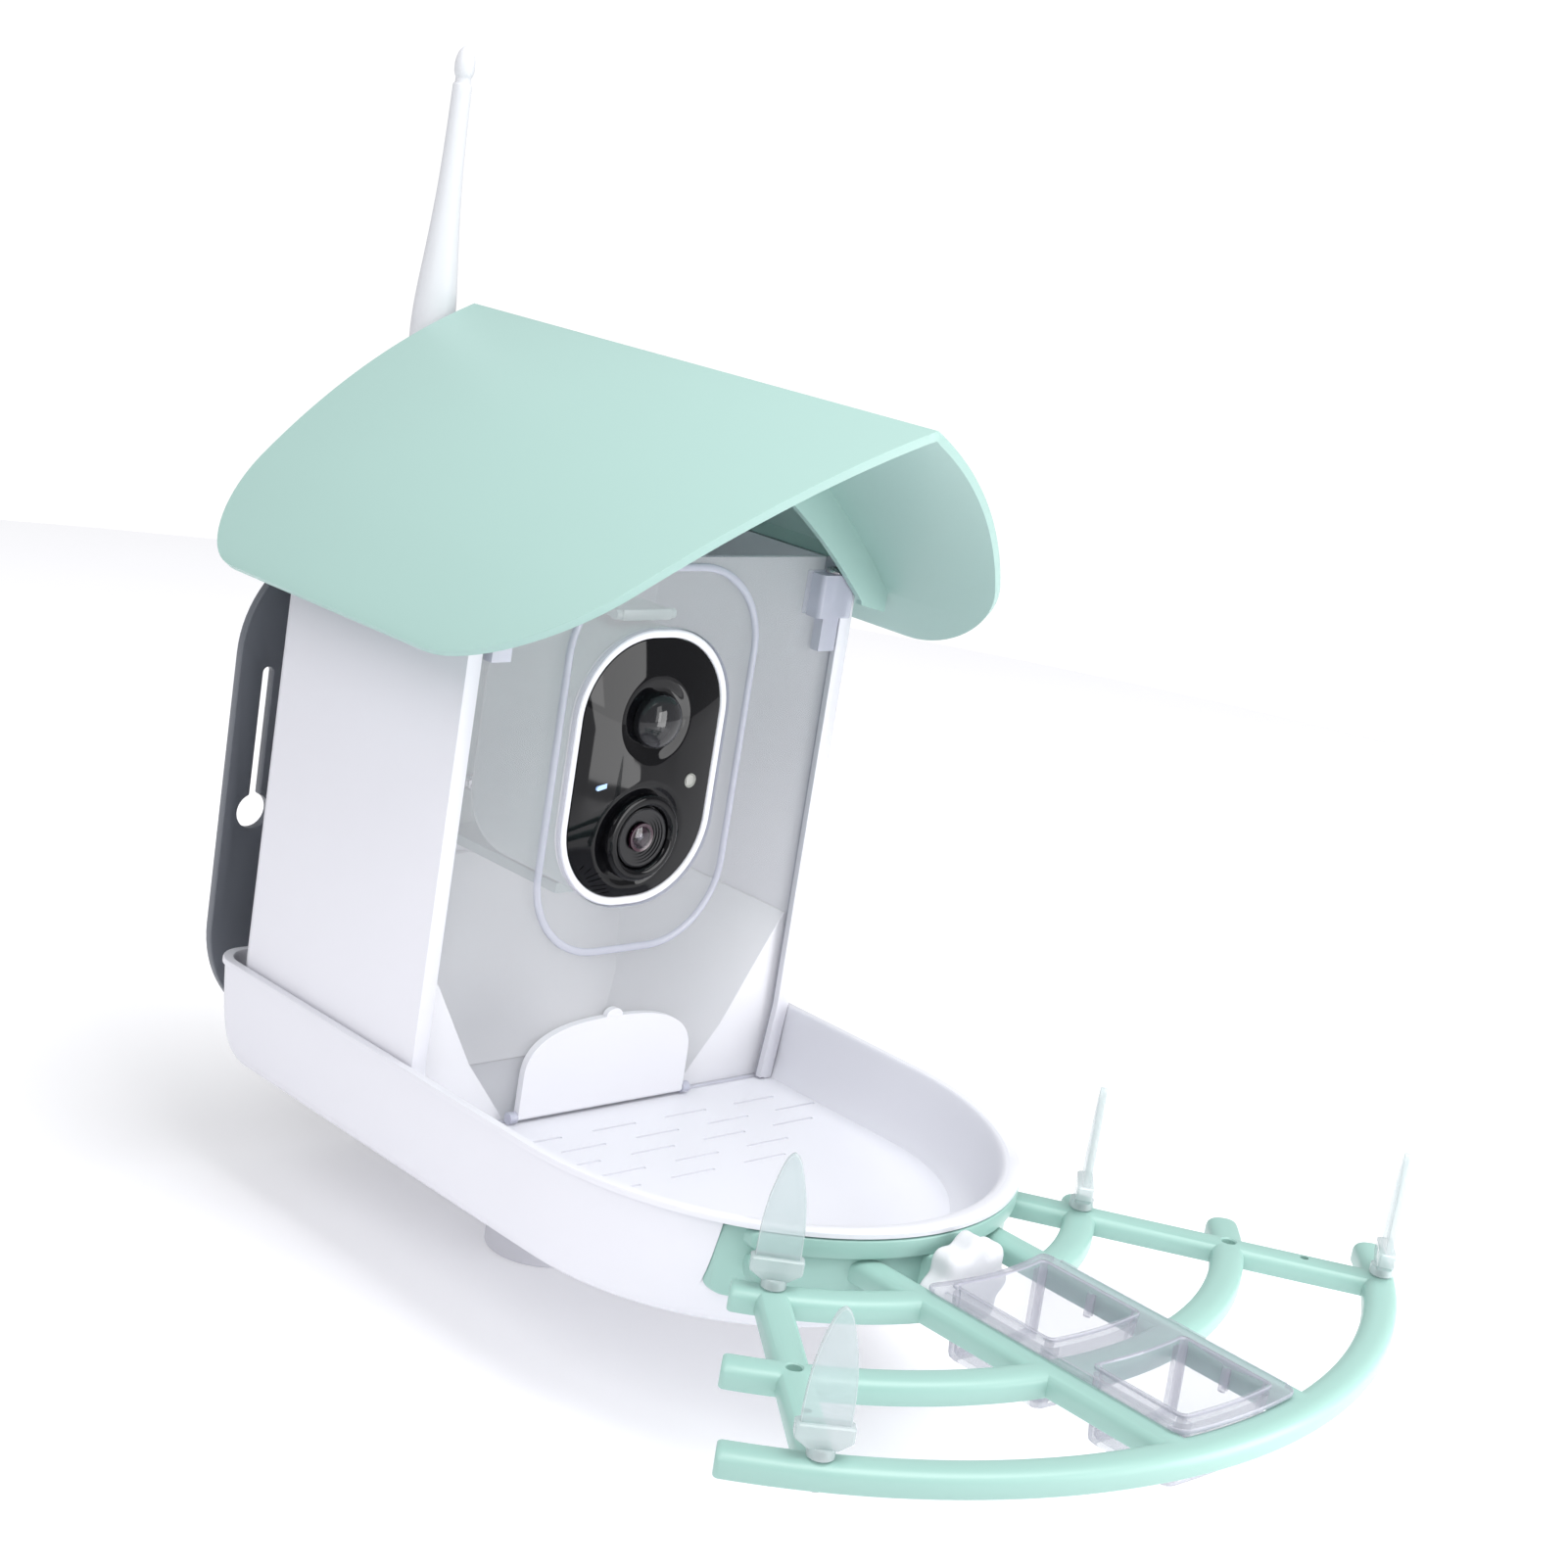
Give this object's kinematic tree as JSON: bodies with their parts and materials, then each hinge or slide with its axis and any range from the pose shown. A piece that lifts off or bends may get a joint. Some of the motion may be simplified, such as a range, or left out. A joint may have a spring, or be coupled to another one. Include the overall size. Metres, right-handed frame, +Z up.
{
  "type": "smart bird feeder",
  "caption": "Smart bird feeder with a camera behind a clear panel, a lift-off gable roof, a seed tray and a fan-shaped perch with cups and spikes",
  "frame": {"origin": "centre of the foot of the pole socket under the tray, where the pole goes in", "axes": "+Z up, -Y towards the perch (the front), X square to the plane through the ridge and the pole; the antenna stands a little to -X"},
  "size_m": [0.2802, 0.411, 0.3845],
  "materials": {
    "white_plastic": "moulded, satin",
    "roof_mint": "moulded, satin",
    "perch_mint": "moulded, satin",
    "grey_plastic": "moulded, matte",
    "pale_plastic": "moulded, matte",
    "clear_plastic": "clear moulded plastic",
    "black_gloss": "polished",
    "black_matte": "matte",
    "lens_plastic": "smoked dome",
    "lens_glass": "polished glass",
    "led_window": "lit window",
    "steel": "plated",
    "brass": "turned",
    "board_green": "solder mask",
    "cell_blue": "sleeved cell"
  },
  "bodies": {
    "body": {"tray_base": "white_plastic", "pole_socket": "white_plastic", "socket_screw_1": "steel", "socket_screw_2": "steel", "socket_screw_3": "steel", "socket_screw_4": "steel", "base_screw_1": "steel", "base_screw_2": "steel", "base_screw_3": "steel", "base_screw_4": "steel", "house_shell": "white_plastic", "seed_funnel": "white_plastic", "front_panel": "clear_plastic", "panel_screw_1": "steel", "panel_screw_2": "steel", "rear_plate": "grey_plastic", "plate_screw_1": "steel", "plate_screw_2": "steel", "plate_screw_3": "steel", "plate_screw_4": "steel", "camera_bracket": "pale_plastic", "bracket_screw_1": "steel", "bracket_screw_2": "steel", "antenna_socket": "brass", "antenna_nut": "brass", "threaded_insert": "brass"},
    "roof": {"roof": "roof_mint"},
    "gate": {"seed_gate": "white_plastic"},
    "camera": {"camera_housing": "pale_plastic", "camera_bezel": "white_plastic", "camera_face": "black_gloss", "pir_lens": "lens_plastic", "lens_ring": "black_gloss", "lens_barrel": "black_gloss", "lens_glass": "lens_glass", "status_led": "led_window", "light_sensor": "lens_glass", "main_board": "board_green", "battery_cell_1": "cell_blue", "battery_cell_2": "cell_blue", "speaker": "black_matte"},
    "button": {"power_button": "grey_plastic"},
    "port_flap": {"usb_flap": "grey_plastic"},
    "swivel": {"antenna_swivel": "white_plastic"},
    "antenna": {"antenna_paddle": "white_plastic", "antenna_pin": "steel"},
    "perch": {"perch_frame": "perch_mint"},
    "knob": {"star_knob": "white_plastic", "knob_stud": "steel"},
    "cups": {"cup_insert": "clear_plastic"},
    "spike_1": {"fruit_spike_1": "clear_plastic"},
    "spike_2": {"fruit_spike_2": "clear_plastic"},
    "spike_3": {"fruit_spike_3": "clear_plastic"},
    "spike_4": {"fruit_spike_4": "clear_plastic"}
  },
  "joints": [
    {"name": "roof_lift", "type": "slide", "parent": "body", "child": "roof", "axis": [0, 0, 1], "range_m": [0, 0.09]},
    {"name": "gate_hinge", "type": "hinge", "parent": "body", "child": "gate", "pos_m": [0, -0.01915, 0.05935], "axis": [1, 0, 0], "range_deg": [0, 85]},
    {"name": "camera_slide", "type": "slide", "parent": "body", "child": "camera", "axis": [0, -1, 0], "range_m": [0, 0.06]},
    {"name": "button_press", "type": "slide", "parent": "camera", "child": "button", "axis": [0, -1, 0], "range_m": [0, 0.001], "stiffness_N_per_m": 300},
    {"name": "flap_hinge", "type": "hinge", "parent": "camera", "child": "port_flap", "pos_m": [0, 0.03545, 0.16], "axis": [1, 0, 0], "range_deg": [0, 100]},
    {"name": "antenna_turn", "type": "hinge", "parent": "body", "child": "swivel", "pos_m": [-0.009, 0.0767, 0.242], "axis": [0, 1, 0], "range_deg": [-180, 180]},
    {"name": "antenna_tilt", "type": "hinge", "parent": "swivel", "child": "antenna", "pos_m": [-0.009, 0.1115, 0.242], "axis": [1, 0, 0], "range_deg": [-90, 0]},
    {"name": "perch_slide", "type": "slide", "parent": "body", "child": "perch", "axis": [0, -1, 0], "range_m": [0, 0.06]},
    {"name": "knob_turn", "type": "hinge", "parent": "perch", "child": "knob", "pos_m": [0, -0.1784, 0.0677], "axis": [0, 1, 0], "continuous": true},
    {"name": "cups_lift", "type": "slide", "parent": "perch", "child": "cups", "axis": [0, 0, 1], "range_m": [0, 0.04]},
    {"name": "spike_1_lift", "type": "slide", "parent": "perch", "child": "spike_1", "axis": [0, 0, 1], "range_m": [0, 0.03]},
    {"name": "spike_2_lift", "type": "slide", "parent": "perch", "child": "spike_2", "axis": [0, 0, 1], "range_m": [0, 0.03]},
    {"name": "spike_3_lift", "type": "slide", "parent": "perch", "child": "spike_3", "axis": [0, 0, 1], "range_m": [0, 0.03]},
    {"name": "spike_4_lift", "type": "slide", "parent": "perch", "child": "spike_4", "axis": [0, 0, 1], "range_m": [0, 0.03]}
  ]
}
